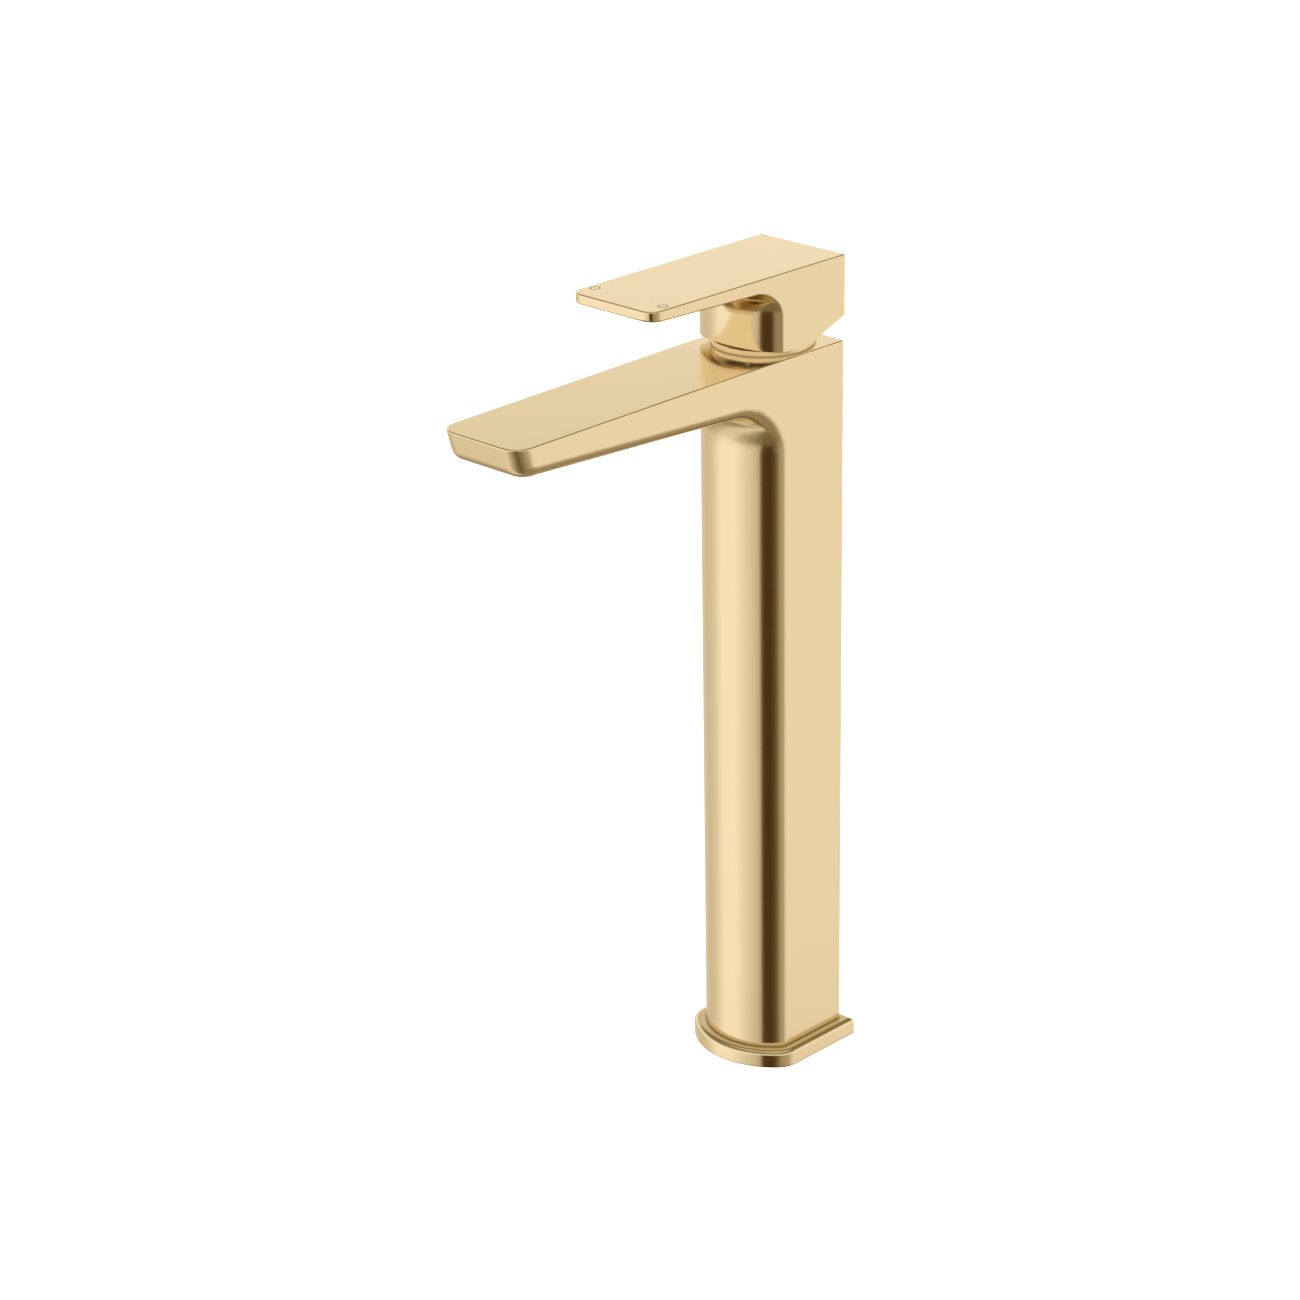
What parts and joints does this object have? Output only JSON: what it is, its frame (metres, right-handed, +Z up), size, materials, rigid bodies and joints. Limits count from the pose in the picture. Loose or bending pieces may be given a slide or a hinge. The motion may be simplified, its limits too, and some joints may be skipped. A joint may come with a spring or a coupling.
{
  "type": "basin mixer faucet",
  "caption": "Tall single-lever basin mixer: flat-backed column with a slim flat spout, and a thin lever that lifts and turns on a ceramic cartridge.",
  "frame": {"origin": "deck surface under the cartridge axis", "axes": "+Z up along the column, the spout runs towards -Y, hot side is -X"},
  "size_m": [0.0486, 0.161, 0.305],
  "materials": {
    "gold_body": "satin brushed brass finish, one grain direction",
    "raw_brass": "machined",
    "copper": "drawn tube, matt",
    "steel": "machined stainless",
    "black_rubber": "matt",
    "white_plastic": "moulded",
    "grey_plastic": "moulded",
    "ceramic_disc": "lapped"
  },
  "bodies": {
    "root": {"body_casting": "gold_body", "base_plate": "gold_body", "base_gasket": "black_rubber", "foot_insert": "raw_brass", "foot_screws": "steel", "hot_riser_tube": "copper", "cold_riser_tube": "copper", "riser_seals": "black_rubber", "manifold": "raw_brass", "spout_waterway": "white_plastic", "aerator_sleeve": "gold_body", "aerator_grid": "grey_plastic", "flow_former": "white_plastic", "aerator_washer": "black_rubber", "cartridge_housing": "white_plastic", "cartridge_base": "grey_plastic", "port_seals": "black_rubber", "fixed_disc": "ceramic_disc", "cartridge_nut": "raw_brass", "neck_ring": "gold_body"},
    "swivel_body": {"swivel": "grey_plastic", "pivot_pin": "steel"},
    "disc_body": {"disc_carrier": "white_plastic", "moving_disc": "ceramic_disc"},
    "lever_body": {"lever_handle": "gold_body", "spindle": "raw_brass", "set_screw": "steel", "screw_plug": "gold_body"}
  },
  "joints": [
    {"name": "temperature_turn", "type": "hinge", "parent": "root", "child": "swivel_body", "pos_m": [0, 0, 0.269], "axis": [0, 0, 1], "range_deg": [-50, 50]},
    {"name": "flow_lift", "type": "hinge", "parent": "swivel_body", "child": "lever_body", "pos_m": [0, 0, 0.269], "axis": [-1, 0, 0], "range_deg": [0, 20]},
    {"name": "disc_slide", "type": "slide", "parent": "swivel_body", "child": "disc_body", "axis": [0, -1, 0], "range_m": [0, 0.0037]}
  ],
  "couplings": [
    {"joint": "disc_slide", "follows": "flow_lift", "m_per_rad": 0.0105}
  ]
}
